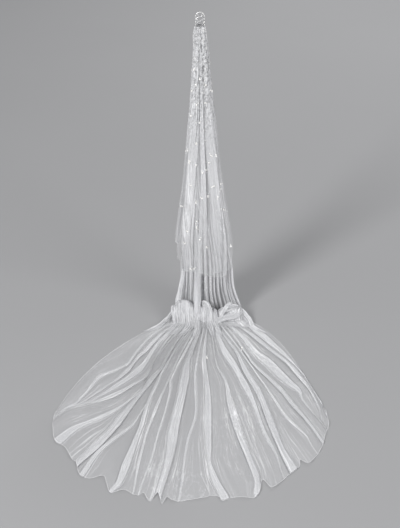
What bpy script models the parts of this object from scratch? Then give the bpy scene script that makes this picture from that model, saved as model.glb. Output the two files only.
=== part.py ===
"""A two-tier bridal veil that hangs from its comb, with the train fanned out on the floor.

Metres, +Z up. The origin is the middle of the comb's spine, where the wearer's hair holds the veil.
The train spreads towards -Y, and +X is to the right of a viewer who stands in front of it.
"""

import math

import bmesh
import bpy
from mathutils import Matrix, Vector

# Driving sizes
FALL_HEIGHT = 1.72  # from the comb to the floor, as worn
CLOTH = 0.0010  # wall of every cloth piece
SEAM = 0.0003  # gap between pieces that meet
FLOOR = -FALL_HEIGHT
FALL_Y = -0.0107  # the gathered cloth hangs just in front of the comb
UP = Vector((0, 0, 1))
DOWN = Vector((0, 0, -1))

# The long tier where it hangs: a bundle of upright pleats, by its drop below the comb
FALL_TOP = 0.003
FALL_SECTIONS = (
    # drop, centre, half_width, half_depth
    (0.003, 0.000, 0.0240, 0.0090),
    (0.060, 0.000, 0.0290, 0.0130),
    (0.180, 0.003, 0.0370, 0.0175),
    (0.400, 0.006, 0.0500, 0.0235),
    (0.690, 0.011, 0.0680, 0.0300),
    (0.960, 0.015, 0.0870, 0.0365),
    (1.200, 0.021, 0.1100, 0.0430),
    (1.380, 0.033, 0.1400, 0.0450),
    (1.560, 0.040, 0.1520, 0.0450),
    (1.720, 0.046, 0.2000, 0.0440),
)
FALL_PLEATS = (
    # share of the width at the floor, how far its front edge stands forward
    (1.25, 0.80),
    (0.80, 1.00),
    (0.90, 0.84),
    (0.85, 0.92),
    (1.20, 0.86),
    (1.50, 1.00),
    (0.75, 0.80),
    (1.10, 0.94),
    (1.25, 1.00),
    (0.80, 0.82),
    (0.95, 0.96),
    (0.85, 0.84),
    (0.90, 1.00),
    (0.80, 0.86),
    (0.95, 0.95),
    (1.15, 0.80),
)
BUNDLE_ROUNDING = 0.70  # how much shallower the pleats are at the bundle's two sides
EVEN_DOWN_TO = 1.2  # drop at which the gathers' even pleats have turned into the floor's uneven ones
EDGE_BACK = 0.60  # share of the depth that the two free edges reach towards the back

# The upper tier, a shorter layer that wraps round the front and sides of the fall
TIER_SECTIONS = (
    # drop, centre, half_width, half_depth
    (0.004, 0.000, 0.0285, 0.0150),
    (0.060, 0.000, 0.0360, 0.0210),
    (0.180, 0.002, 0.0475, 0.0300),
    (0.400, 0.005, 0.0650, 0.0385),
    (0.690, 0.011, 0.0910, 0.0495),
    (0.900, 0.015, 0.1130, 0.0560),
    (1.050, 0.017, 0.1340, 0.0590),
    (1.240, 0.020, 0.1600, 0.0640),
    (1.480, 0.030, 0.1620, 0.0660),
)
TIER_WAVES = 11
TIER_HALF_SWEEP = math.radians(152)  # each side, from the front round towards the open back
TIER_SWEEP_AT_COMB = math.radians(98)
TIER_OPENS = (0.04, 0.24)  # drops between which it spreads from the one sweep to the other
TIER_WAVE_AT_TOP = 0.0015
TIER_WAVE_AT_HEM = 0.0085
TIER_WAVE_FULL = 0.9  # drop below which the waves are at their full depth
TIER_STATIONS = (0.0, 0.05, 0.14, 0.30, 0.50, 0.68, 0.84, 0.95, 1.0)
TIER_SQUARENESS = 2.5  # exponent of the section's superellipse
TIER_HEM = (
    # angle from the front in degrees, drop of the hem
    (-152, 1.320),
    (-110, 1.290),
    (-75, 1.262),
    (-45, 1.380),
    (0, 1.450),
    (45, 1.430),
    (75, 1.330),
    (110, 1.310),
    (152, 1.330),
)

# The train, a fan of the same long tier on the floor, from the foot of the fall
FAN_X = 0.043
TRAIN_HEM = (
    # bearing from straight forward in degrees, reach of the hem
    (-38.5, 1.250),
    (-34.4, 1.378),
    (-30.6, 1.461),
    (-23.0, 1.618),
    (-16.9, 1.672),
    (-7.0, 1.705),
    (0.0, 1.671),
    (7.0, 1.677),
    (11.1, 1.608),
    (17.0, 1.494),
    (22.7, 1.416),
    (27.6, 1.283),
    (31.8, 1.142),
)
FOOT_HALF_WIDTH = 0.247  # the line where the train starts, round the pooled cloth
FOOT_SQUARENESS = 8  # exponent of that line's superellipse
FAN_EDGES = (
    # near, middle and hem bearing in degrees
    (-60.0, -49.0, -38.5),
    (64.0, 42.0, 31.8),
)
FAN_FOLDS = (
    # near, middle and hem bearing, width of the flattened fold, side it lies to, share of width at the hem
    (-53.0, -44.3, -37.0, 0.026, 1, 0.40),
    (-45.5, -37.8, -35.4, 0.036, -1, 0.50),
    (-40.5, -34.2, -33.8, 0.022, 1, 0.80),
    (-37.0, -29.7, -31.6, 0.022, -1, 1.30),
    (-33.5, -27.0, -28.7, 0.018, 1, 1.60),
    (-29.5, -24.4, -24.3, 0.042, 1, 1.00),
    (-26.0, -21.4, -21.2, 0.016, 1, 0.90),
    (-22.0, -17.6, -14.9, 0.038, -1, 0.75),
    (-13.5, -10.6, -8.6, 0.044, 1, 0.85),
    (-6.0, -2.0, 2.2, 0.026, 1, 1.30),
    (3.0, 6.1, 9.0, 0.022, -1, 1.20),
    (10.5, 13.0, 13.9, 0.032, 1, 0.90),
    (24.5, 18.6, 17.4, 0.038, -1, 1.00),
    (30.0, 24.0, 22.0, 0.018, 1, 0.90),
    (37.0, 29.6, 25.8, 0.034, 1, 0.60),
    (52.0, 36.6, 29.4, 0.022, -1, 0.40),
)
FOLD_RISE = 0.0026  # radius of a flattened fold's two turns
FOLD_RISE_SHARE = 0.058  # or this share of the pitch, where that is less
FOLD_ROOM = 0.84  # share of the pitch that a fold may take
FOLD_CHANGE = 0.45  # share of the way to the hem where its width starts to change
PUFF = 0.012  # how far a wide panel between two folds lifts off the floor
PUFF_PANEL = 0.10  # width of such a panel
PUFF_FROM = 0.3  # share of the way to the hem where the panels lie at their full height
TRAIN_STATIONS = (0.0, 0.06, 0.15, 0.27, 0.42, 0.58, 0.75, 0.90, 1.0)

# The cloth that pools where the fall meets the floor, as three gathered rolls
POOL_BACK = 0.0446  # behind the rolls, the deepest pleat of the fall
ROLL_DEPTH = 0.094
ROLLS = (
    # name, left, right, height, pleats, slant of its top towards +X
    ("pool_roll_left", -0.156, -0.040, 0.092, 7, 0.000),
    ("pool_roll_middle", 0.010, 0.090, 0.082, 5, -0.006),
    ("pool_roll_right", 0.098, 0.246, 0.088, 8, 0.006),
)
ROLL_PLEAT = 0.0050  # how far a pleat of a roll stands out
ROLL_TURNS = 10  # faces over the top of a roll
ROLL_END = 0.30  # size of a roll's two ends against its middle
ROLL_FULLNESS = 3.2  # exponent of its outline from above
ROLL_SHOULDER = 0.75  # exponent of its profile, below 1 for steeper sides

# The taut band of pleats that passes over the pool in front
STRAND_X = -0.0150
STRAND_SECTIONS = (
    # distance along the band, drop, forward of the fall's middle, half_width
    (0.000, 1.463, 0.0502, 0.0190),
    (0.070, 1.530, 0.0640, 0.0195),
    (0.140, 1.596, 0.0860, 0.0200),
    (0.200, 1.647, 0.1160, 0.0205),
    (0.240, 1.678, 0.1410, 0.0215),
    (0.275, 1.694, 0.1720, 0.0225),
)
STRAND_DEPTH = 0.0070
STRAND_PLEATS = ((1.0, 1.0), (1.2, 0.9), (0.9, 1.0))

# The comb and the beaded wire arch over it
COMB_WIDTH = 0.050
COMB_SPINE = 0.0050
COMB_THICKNESS = 0.0018
COMB_TEETH = 12
TOOTH_LENGTH = 0.034
TOOTH_SHARE = 0.42  # share of the pitch that a tooth fills
COMB_TILT = math.radians(12)  # the teeth lean away from the cloth
TOOTH_TIP = 0.67  # width of a tooth's tip against its root
ARCH_WIDTH = 0.0440
ARCH_HEIGHT = 0.0700
ARCH_WIRE = 0.0016
VINE_WIRE = 0.0011
VINE_START = 0.010  # above the comb
VINE_TOP_CLEAR = 0.012  # below the top of the arch
VINE_SWINGS = 0.95  # turns from side to side
VINE_TAPER = 0.35  # how much narrower it swings at its top
VINE_STEPS = 12
ARCH_STEPS = 10

MITRE_LIMIT = 0.62  # keeps the wall from growing into spikes at sharp turns

WHITE_NET = (0.86, 0.86, 0.87, 1.0)
SILVER = (0.78, 0.79, 0.80, 1.0)


def material(name, colour, roughness, metallic=0.0):
    made = bpy.data.materials.new(name)
    made.use_nodes = True
    shader = made.node_tree.nodes["Principled BSDF"]
    shader.inputs["Base Color"].default_value = colour
    shader.inputs["Roughness"].default_value = roughness
    shader.inputs["Metallic"].default_value = metallic
    return made


def add_object(name, mesh, look):
    mesh.materials.append(look)
    made = bpy.data.objects.new(name, mesh)
    bpy.context.scene.collection.objects.link(made)
    return made


def solid(name, points, faces, look):
    """A closed mesh with its faces turned outwards."""
    mesh = bpy.data.meshes.new(name)
    mesh.from_pydata(points, [], faces)
    shape = bmesh.new()
    shape.from_mesh(mesh)
    bmesh.ops.recalc_face_normals(shape, faces=shape.faces)
    shape.to_mesh(mesh)
    shape.free()
    mesh.shade_smooth()
    mesh.set_sharp_from_angle(angle=math.radians(50))
    return add_object(name, mesh, look)


def lerp(a, b, t):
    return a + (b - a) * t


def ease(t):
    t = min(max(t, 0.0), 1.0)
    return t * t * (3 - 2 * t)


def read(table, at, column):
    """A column of a table as a smooth curve through its rows. The first column is the position."""
    last = len(table) - 2
    i = next((n for n in range(last) if at < table[n + 1][0]), last)
    slopes = []
    for n in (i, i + 1):
        low, high = table[max(n - 1, 0)], table[min(n + 1, len(table) - 1)]
        slopes.append((high[column] - low[column]) / (high[0] - low[0]))
    a, b = table[i], table[i + 1]
    span = b[0] - a[0]
    t = min(max((at - a[0]) / span, 0.0), 1.0)
    return (
        a[column] * (1 + 2 * t) * (1 - t) ** 2
        + slopes[0] * span * t * (1 - t) ** 2
        + b[column] * t * t * (3 - 2 * t)
        + slopes[1] * span * t * t * (t - 1)
    )


def through(near, middle, hem, t):
    """The smooth curve with these values at 0, one half and 1."""
    return near * (1 - t) * (1 - 2 * t) + middle * 4 * t * (1 - t) + hem * t * (2 * t - 1)


def mitred(section, along):
    """For each point of an open section, the offset that gives an even wall of thickness 1 to one side."""
    offsets = []
    for i, point in enumerate(section):
        sides = []
        if i > 0:
            sides.append(point - section[i - 1])
        if i < len(section) - 1:
            sides.append(section[i + 1] - point)
        normals = [along[i].cross(side).normalized() for side in sides]
        middle = sum(normals, Vector()).normalized()
        offsets.append(middle / max(middle.dot(normals[0]), MITRE_LIMIT))
    return offsets


def cloth(name, rows, look, wall=CLOTH):
    """A cloth wall. Each row is a section, given as its points and the direction along the cloth at each."""
    points = []
    for section, along in rows:
        offsets = mitred(section, along)
        points += [p + n * wall / 2 for p, n in zip(section, offsets)]
        points += [p - n * wall / 2 for p, n in zip(section, offsets)]
    across = len(rows[0][0])
    faces = []

    def at(row, column, side):
        return (2 * row + side) * across + column

    def strip(a, b, c, d):
        faces.extend([(a, b, c), (a, c, d)])

    for r in range(len(rows) - 1):
        for c in range(across - 1):
            strip(at(r, c, 0), at(r, c + 1, 0), at(r + 1, c + 1, 0), at(r + 1, c, 0))
            faces.append((at(r, c, 1), at(r + 1, c + 1, 1), at(r, c + 1, 1)))
            faces.append((at(r, c, 1), at(r + 1, c, 1), at(r + 1, c + 1, 1)))
        for c in (0, across - 1):
            strip(at(r, c, 0), at(r + 1, c, 0), at(r + 1, c, 1), at(r, c, 1))
    for r in (0, len(rows) - 1):
        for c in range(across - 1):
            strip(at(r, c, 0), at(r, c, 1), at(r, c + 1, 1), at(r, c + 1, 0))
    return solid(name, points, faces, look)


def upright_pleats(pleats, half_width, half_depth, evenness, rounding):
    """Points (across, forward) of a bundle of upright pleats, with both free edges at the back.
    Evenness 1 makes all pleats as wide as each other, as where they are gathered."""
    shares = [lerp(share, 1.0, evenness) for share, _ in pleats]
    total = sum(shares)
    pitches = [2 * half_width * share / total for share in shares]

    def deep(x):
        return half_depth * math.sqrt(1 - rounding * min(abs(x / half_width), 1.0) ** 2)

    points = []
    x = -half_width
    for k, pitch in enumerate(pitches):
        turn, middle = pitch / 4, x + pitch / 2
        front = deep(middle) * lerp(pleats[k][1], 1.0, evenness)
        if k == 0:
            points.append((middle - turn, -EDGE_BACK * deep(middle)))
        points += [(middle - turn, front - turn), (middle, front), (middle + turn, front - turn)]
        x += pitch
        if k < len(pitches) - 1:
            left, right = middle + turn, x + pitches[k + 1] / 4
            turn, middle = (right - left) / 2, (left + right) / 2
            back = -deep(middle)
            points += [(left, back + turn), (middle, back), (right, back + turn)]
        else:
            points.append((middle + turn, -EDGE_BACK * deep(middle)))
    return points


def make_fall(net):
    rows = []
    for drop, centre, half_width, half_depth in FALL_SECTIONS:
        evenness = 1 - ease(drop / EVEN_DOWN_TO)
        local = upright_pleats(FALL_PLEATS, half_width, half_depth, evenness, BUNDLE_ROUNDING)
        section = [Vector((centre + x, FALL_Y - y, -drop)) for x, y in local]
        rows.append((section, [DOWN] * len(section)))
    return cloth("long_tier_fall", rows, net)


def make_strand(net):
    rows = []
    for distance, drop, forward, half_width in STRAND_SECTIONS:
        step = 1e-4
        before, after = (
            Vector((0, -read(STRAND_SECTIONS, at, 2), -read(STRAND_SECTIONS, at, 1)))
            for at in (distance - step, distance + step)
        )
        along = (after - before).normalized()
        out = along.cross(Vector((1, 0, 0)))
        middle = Vector((STRAND_X, FALL_Y - forward, -drop))
        local = upright_pleats(STRAND_PLEATS, half_width, STRAND_DEPTH, 0.0, 0.0)
        section = [middle + Vector((x, 0, 0)) + out * y for x, y in local]
        rows.append((section, [along] * len(section)))
    return cloth("front_strand", rows, net)


def tier_section(v):
    """Section of the upper tier at a share v of the way from the gathers to the hem."""
    steps = 4 * TIER_WAVES
    power = TIER_SQUARENESS
    first, last = TIER_OPENS
    section = []
    for i in range(steps + 1):
        share = lerp(-1, 1, i / steps)
        hem = read(TIER_HEM, math.degrees(share * TIER_HALF_SWEEP), 1)
        drop = lerp(TIER_SECTIONS[0][0], hem, v)
        opened = ease((drop - first) / (last - first))
        turn = share * lerp(TIER_SWEEP_AT_COMB, TIER_HALF_SWEEP, opened)
        centre, half_width, half_depth = (read(TIER_SECTIONS, drop, c) for c in (1, 2, 3))
        wave = lerp(TIER_WAVE_AT_TOP, TIER_WAVE_AT_HEM, ease(drop / TIER_WAVE_FULL))
        out = -wave * (1 - math.cos(math.pi * i / 2))
        across, forward = math.sin(turn), math.cos(turn)
        reach = (abs(across) ** power + abs(forward) ** power) ** (-1 / power)
        x = centre + across * (half_width * reach + out)
        y = FALL_Y - forward * (half_depth * reach + out)
        section.append(Vector((x, y, -drop)))
    return section, [DOWN] * len(section)


def make_tier(net):
    return cloth("upper_tier", [tier_section(v) for v in TIER_STATIONS], net)


def foot_reach(bearing):
    """From the foot of the fall to the front of the pooled cloth, where the train starts."""
    turn = math.radians(bearing)
    depth = POOL_BACK + ROLL_DEPTH + 2 * SEAM
    across, forward = abs(math.sin(turn)) / FOOT_HALF_WIDTH, math.cos(turn) / depth
    return (across ** FOOT_SQUARENESS + forward ** FOOT_SQUARENESS) ** (-1 / FOOT_SQUARENESS)


def fan_point(bearings, t):
    """Where a fold or an edge of the train lies on the floor, a share t of the way to the hem."""
    near, middle, hem = bearings
    turn = math.radians(through(near, middle, hem, t))
    reach = lerp(foot_reach(near), read(TRAIN_HEM, hem, 1), t)
    return Vector((FAN_X + reach * math.sin(turn), FALL_Y - reach * math.cos(turn), FLOOR))


def lying_fold(width, rise, side):
    """Points (across, up) of a fold pressed flat, so that three layers lie on each other."""
    half = width / 2
    points = [
        (-half - 4 * rise, 0),
        (half - 2 * rise, 0),
        (half - rise, rise),
        (half - 2 * rise, 2 * rise),
        (-half - 2 * rise, 2 * rise),
        (-half - 3 * rise, 3 * rise),
        (-half - 2 * rise, 4 * rise),
        (half, 4 * rise),
        (half + 4 * rise, 0),
    ]
    return points if side > 0 else [(-x, z) for x, z in reversed(points)]


def train_section(t):
    lines = [FAN_EDGES[0], *(fold[:3] for fold in FAN_FOLDS), FAN_EDGES[1]]
    places = [fan_point(line, t) for line in lines]
    puff = PUFF * ease(t / PUFF_FROM)
    change = ease((t - FOLD_CHANGE) / (1 - FOLD_CHANGE))
    section, along = [], []

    def add(place, across):
        section.append(place + UP * CLOTH / 2)
        along.append(across.cross(UP).normalized())

    def add_panel(end, across):
        before = section[-1]
        lift = puff * min(1.0, (end - before).length / PUFF_PANEL)
        add((before + end) / 2 + UP * (lift - CLOTH / 4), across)

    first = (places[1] - places[0]).normalized()
    add(places[0], first)
    for k, (_, _, _, width, side, at_hem) in enumerate(FAN_FOLDS, start=1):
        pitch = (places[k + 1] - places[k - 1]).length / 2
        room = min(pitch, (places[k] - places[k - 1]).length, (places[k + 1] - places[k]).length)
        rise = min(FOLD_RISE, FOLD_RISE_SHARE * room)
        wide = max(min(width * lerp(1.0, at_hem, change), FOLD_ROOM * room - 8 * rise), rise)
        across = (places[k + 1] - places[k - 1]).normalized()
        local = lying_fold(wide, rise, side)
        add_panel(places[k] + across * local[0][0], across)
        for x, z in local:
            add(places[k] + across * x + UP * z, across)
    last = (places[-1] - places[-2]).normalized()
    add_panel(places[-1], last)
    add(places[-1], last)
    return section, along


def make_train(net):
    return cloth("train", [train_section(t) for t in TRAIN_STATIONS], net)


def make_roll(name, left, right, height, pleats, slant, net):
    """Cloth pooled in a gathered roll. Its hidden layers share one rounded solid with a flat underside."""
    columns = 4 * pleats
    points = []
    for i in range(columns + 1):
        u = i / columns
        size = lerp(ROLL_END, 1.0, math.sqrt(1 - abs(2 * u - 1) ** ROLL_FULLNESS))
        pleat = ROLL_PLEAT * (math.cos(math.pi * i / 2) - 1) * size
        x = lerp(left, right, u)
        deep, high = ROLL_DEPTH * size + pleat, height * size + pleat
        for j in range(ROLL_TURNS + 1):
            turn = math.pi * j / ROLL_TURNS
            forward = deep * (0.5 - 0.5 * math.cos(turn))
            up = high * math.sin(turn) ** ROLL_SHOULDER if 0 < j < ROLL_TURNS else 0.0
            lean = slant * up / height
            y = FALL_Y - POOL_BACK - SEAM - forward
            points.append((x + lean, y, FLOOR + up))
    ring = ROLL_TURNS + 1
    faces = []
    for i in range(columns):
        for j in range(ring):
            a, b = i * ring + j, i * ring + (j + 1) % ring
            faces.append((a, b, b + ring, a + ring))
    faces.append(tuple(range(ring)))
    faces.append(tuple(columns * ring + j for j in range(ring)))
    return solid(name, points, faces, net)


def make_comb(metal):
    """Spine with teeth, cut as one outline from a flat strip and leant back by COMB_TILT."""
    pitch = COMB_WIDTH / COMB_TEETH
    root = pitch * TOOTH_SHARE / 2
    tip = root * TOOTH_TIP
    half, low = COMB_WIDTH / 2, -COMB_SPINE / 2
    outline = [(-half, COMB_SPINE / 2), (-half, low)]
    for k in range(COMB_TEETH):
        middle = -half + (k + 0.5) * pitch
        outline += [(middle - root, low), (middle - tip, -TOOTH_LENGTH)]
        outline += [(middle + tip, -TOOTH_LENGTH), (middle + root, low)]
    outline += [(half, low), (half, COMB_SPINE / 2)]
    lean = Matrix.Rotation(COMB_TILT, 3, "X")
    points = []
    for y in (-COMB_THICKNESS / 2, COMB_THICKNESS / 2):
        points += [lean @ Vector((x, y, z)) for x, z in outline]
    count = len(outline)
    faces = [tuple(range(count)), tuple(range(2 * count - 1, count - 1, -1))]
    faces += [(i, (i + 1) % count, (i + 1) % count + count, i + count) for i in range(count)]
    return solid("comb", points, faces, metal)


def make_wire(name, path, radius, metal):
    """A round wire along a smooth path, with filled ends."""
    curve = bpy.data.curves.new(name, "CURVE")
    curve.dimensions = "3D"
    curve.bevel_depth = radius
    curve.bevel_resolution = 2
    curve.use_fill_caps = True
    spline = curve.splines.new("POLY")
    spline.points.add(len(path) - 1)
    for point, place in zip(spline.points, path):
        point.co = (*place, 1.0)
    return add_object(name, curve, metal)


def make_arch(metal):
    """The wire arch stands on the gathers, and two crossing vines lie on its front and its back."""
    half, foot = ARCH_WIDTH / 2, SEAM - FALL_TOP
    straight = ARCH_HEIGHT - half
    path = [(-half, FALL_Y, foot), (-half, FALL_Y, straight / 2)]
    for step in range(ARCH_STEPS + 1):
        turn = math.pi * (1 - step / ARCH_STEPS)
        path.append((half * math.cos(turn), FALL_Y, straight + half * math.sin(turn)))
    path += [(half, FALL_Y, straight / 2), (half, FALL_Y, foot)]
    make_wire("arch", path, ARCH_WIRE, metal)
    clear = ARCH_WIRE + VINE_WIRE + SEAM
    for name, side in (("vine_front", 1), ("vine_back", -1)):
        path = []
        for step in range(VINE_STEPS + 1):
            t = step / VINE_STEPS
            x = side * half * math.cos(2 * math.pi * VINE_SWINGS * t) * (1 - VINE_TAPER * t)
            z = lerp(VINE_START, ARCH_HEIGHT - VINE_TOP_CLEAR, t)
            path.append((x, FALL_Y - side * clear, z))
        make_wire(name, path, VINE_WIRE, metal)


def main():
    for item in list(bpy.data.objects):
        bpy.data.objects.remove(item)
    net = material("silk_net", WHITE_NET, 0.8)
    metal = material("silver_wire", SILVER, 0.3, 1.0)
    make_comb(metal)
    make_arch(metal)
    make_fall(net)
    make_tier(net)
    make_strand(net)
    for row in ROLLS:
        make_roll(*row, net)
    make_train(net)


main()
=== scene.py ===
"""Looks of a two-tier bridal veil that hangs from its comb, with the train fanned out on the floor.

Metres, +Z up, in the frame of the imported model. The origin is the middle of the comb's spine.
The train spreads towards -Y, where the camera stands.
"""

import math

import bmesh
import bpy
import numpy as np
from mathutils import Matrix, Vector
from mathutils.bvhtree import BVHTree


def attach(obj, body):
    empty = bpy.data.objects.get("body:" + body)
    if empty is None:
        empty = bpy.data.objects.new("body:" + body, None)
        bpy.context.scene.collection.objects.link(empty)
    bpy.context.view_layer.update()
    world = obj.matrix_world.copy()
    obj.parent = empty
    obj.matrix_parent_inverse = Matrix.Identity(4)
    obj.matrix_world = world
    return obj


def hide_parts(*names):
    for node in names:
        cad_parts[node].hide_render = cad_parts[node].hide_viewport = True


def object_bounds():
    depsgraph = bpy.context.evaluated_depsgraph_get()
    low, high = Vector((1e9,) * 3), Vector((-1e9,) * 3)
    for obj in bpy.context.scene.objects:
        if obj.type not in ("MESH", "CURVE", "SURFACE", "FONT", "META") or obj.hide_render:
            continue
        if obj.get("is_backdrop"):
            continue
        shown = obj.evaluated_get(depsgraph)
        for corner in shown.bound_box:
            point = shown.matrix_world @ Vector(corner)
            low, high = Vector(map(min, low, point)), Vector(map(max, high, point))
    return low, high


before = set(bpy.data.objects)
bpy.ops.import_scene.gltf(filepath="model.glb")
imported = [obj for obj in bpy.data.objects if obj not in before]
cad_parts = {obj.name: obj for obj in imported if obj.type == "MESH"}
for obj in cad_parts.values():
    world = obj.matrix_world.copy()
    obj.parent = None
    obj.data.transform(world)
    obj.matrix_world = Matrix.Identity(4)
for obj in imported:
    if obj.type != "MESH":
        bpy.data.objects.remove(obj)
CAD_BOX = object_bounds()

# Driving sizes of the veil
FALL_HEIGHT = 1.72  # from the comb to the floor
FLOOR = -FALL_HEIGHT
FALL_Y = -0.0107  # the gathered cloth hangs just in front of the comb
NET_WIDTH = 2.75  # width of the long tier as cut
NET_COVER = 0.33  # share of the light that one layer of net stops
LACE_FULL_TO, LACE_ENDS = 0.20, 0.95  # drops between which the embroidery thins out
HEM_ROLL = 0.0007  # radius of the rolled hem
TIER_HEM_ROLL = 0.6 * HEM_ROLL

# The camera, as it stood for the photograph
CAMERA_TARGET = Vector((0.0, -0.45, -1.160))
CAMERA_DISTANCE = 7.0
CAMERA_ELEVATION = math.radians(30)
CAMERA_BACK = Vector((0, -math.cos(CAMERA_ELEVATION), math.sin(CAMERA_ELEVATION)))
CAMERA_PLACE = CAMERA_TARGET + CAMERA_BACK * CAMERA_DISTANCE
CAMERA_LENS = 90.4
CAMERA_SENSOR = 36.0
PHOTO_WIDTH, PHOTO_HEIGHT = 400, 528

# The long tier where it hangs, a bundle of upright pleats
FALL_TOP = 0.003
FALL_SECTIONS = (
    # drop, centre, half_width, half_depth
    (0.003, 0.000, 0.0240, 0.0090),
    (0.060, 0.000, 0.0290, 0.0130),
    (0.180, 0.003, 0.0370, 0.0175),
    (0.400, 0.006, 0.0500, 0.0235),
    (0.690, 0.011, 0.0680, 0.0300),
    (0.960, 0.015, 0.0870, 0.0365),
    (1.200, 0.021, 0.1100, 0.0430),
    (1.380, 0.033, 0.1400, 0.0450),
    (1.560, 0.040, 0.1520, 0.0450),
    (1.720, 0.046, 0.2000, 0.0440),
)
FALL_PLEATS = (
    # share of the width at the floor, how far its front edge stands forward
    (1.25, 0.80), (0.80, 1.00), (0.90, 0.84), (0.85, 0.92), (1.20, 0.86), (1.50, 1.00), (0.75, 0.80),
    (1.10, 0.94), (1.25, 1.00), (0.80, 0.82), (0.95, 0.96), (0.85, 0.84), (0.90, 1.00), (0.80, 0.86),
    (0.95, 0.95), (1.15, 0.80),
)
FALL_GAPS = (
    # pleat, half its width in pleats, how much wider it lies, drop where it starts
    (2.5, 0.42, 2.4, 1.54),
    (6.9, 0.26, 2.0, 1.12),
    (9.7, 0.20, 1.5, 1.34),
    (11.4, 0.20, 1.5, 1.42),
    (13.2, 0.20, 1.5, 1.46),
)
FALL_RIPPLES = (
    # size, number to a pleat, drift, seed, cells of the drift
    (0.11, 3.3, 0.9, 1, (4, 16)),
    (0.07, 6.1, 1.2, 2, (4, 22)),
)
FALL_LAYERS = 2.0  # layers of net for each one that is modelled
BUNDLE_ROUNDING = 0.70  # 0 is a flat front, 1 a round one
EVEN_DOWN_TO = 1.2  # drop from where the pleats differ fully
EDGE_BACK = 0.60  # how far behind the front the two free edges lie
OFF_FLOOR = 0.0015
PLEAT_OVERLAP = 0.85  # how flat the pleats lie over each other, in front and behind
FRONT_DWELL = 0.55  # how much longer each pleat stays in front than behind
DWELL_SHARPNESS = 2.4

# The upper tier, which wraps round the front and sides of the fall
TIER_SECTIONS = (
    # drop, centre, half_width, half_depth
    (0.004, 0.000, 0.0285, 0.0150),
    (0.060, 0.000, 0.0360, 0.0210),
    (0.180, 0.005, 0.0440, 0.0300),
    (0.400, 0.008, 0.0610, 0.0385),
    (0.690, 0.012, 0.0900, 0.0495),
    (0.900, 0.015, 0.1130, 0.0560),
    (1.050, 0.017, 0.1340, 0.0590),
    (1.240, 0.020, 0.1600, 0.0640),
    (1.480, 0.030, 0.1620, 0.0660),
)
TIER_WAVES = 11
TIER_RIPPLES = (
    # as FALL_RIPPLES
    (0.17, 4.6, 0.6, 13, (3, 12)),
    (0.10, 8.2, 0.7, 14, (3, 20)),
)
TIER_HALF_SWEEP = math.radians(152)  # how far it reaches round to each side
TIER_SWEEP_AT_COMB = math.radians(98)
TIER_OPENS = (0.04, 0.24)  # drops between which it opens to its full sweep
TIER_WAVE_AT_TOP, TIER_WAVE_AT_HEM = 0.0015, 0.0085  # half the depth of its waves
TIER_WAVE_FULL = 0.9  # drop from where they are as deep as at the hem
TIER_SQUARENESS = 2.5  # 2 is an ellipse
TIER_SIDE_AT, TIER_SIDE_SPREAD = 82, 38  # degrees, where it hangs loose in one layer
TIER_LAYERS, TIER_SIDE_LAYERS = 1.5, 0.85
TIER_HEM_THINNER = 0.62  # share of its cover that it loses in front, towards the hem
TIER_HEM = (
    # angle from the front in degrees, drop of the hem
    (-152, 1.320),
    (-110, 1.290),
    (-75, 1.262),
    (-58, 1.285),
    (-42, 1.385),
    (0, 1.450),
    (45, 1.430),
    (75, 1.330),
    (110, 1.310),
    (152, 1.330),
)
TIER_WIDTH, TIER_LENGTH = 1.45, 1.36  # what its waves take up of the cut

# The train, a fan of the same long tier on the floor
FAN_X = 0.043
FAN_MIDDLE = np.array([FAN_X, FALL_Y])
TRAIN_HEM = (
    # bearing from straight forward in degrees, reach of the hem
    (-38.5, 1.250), (-37.5, 1.296), (-34.9, 1.372), (-31.7, 1.449), (-29.3, 1.462), (-25.8, 1.531),
    (-24.7, 1.543), (-22.7, 1.615), (-20.4, 1.626), (-18.4, 1.593), (-17.4, 1.633), (-16.0, 1.690),
    (-13.9, 1.664), (-11.5, 1.680), (-10.8, 1.658), (-9.3, 1.712), (-8.5, 1.646), (-7.9, 1.677),
    (-7.3, 1.727), (-6.9, 1.681), (-5.9, 1.699), (-4.3, 1.691), (-0.8, 1.669), (0.2, 1.652),
    (1.4, 1.652), (2.0, 1.683), (3.5, 1.670), (7.2, 1.677), (8.3, 1.642), (9.2, 1.565), (9.7, 1.560),
    (10.4, 1.623), (12.2, 1.595), (14.2, 1.549), (17.2, 1.493), (17.7, 1.455), (18.7, 1.495),
    (20.7, 1.462), (23.3, 1.405), (26.4, 1.316), (28.9, 1.257), (31.8, 1.142),
)
TRAIN_LENGTH, TRAIN_AREA = 1.55, 3.7  # of the cut that lies on the floor
TRAIN_GATHER = 1.6  # width of net that shows in its width
POOL_BACK = 0.0446  # from the middle of the fall to the pooled cloth in front of it
ROLL_DEPTH = 0.094  # of the pooled cloth
SEAM = 0.0003  # room left between solids
FOOT_HALF_WIDTH = 0.247  # of the line where the train starts
FOOT_SQUARENESS = 8
FAN_EDGES = (
    # near, middle and hem bearing in degrees
    (-60.0, -49.0, -38.5),
    (64.0, 42.0, 31.8),
)
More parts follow.
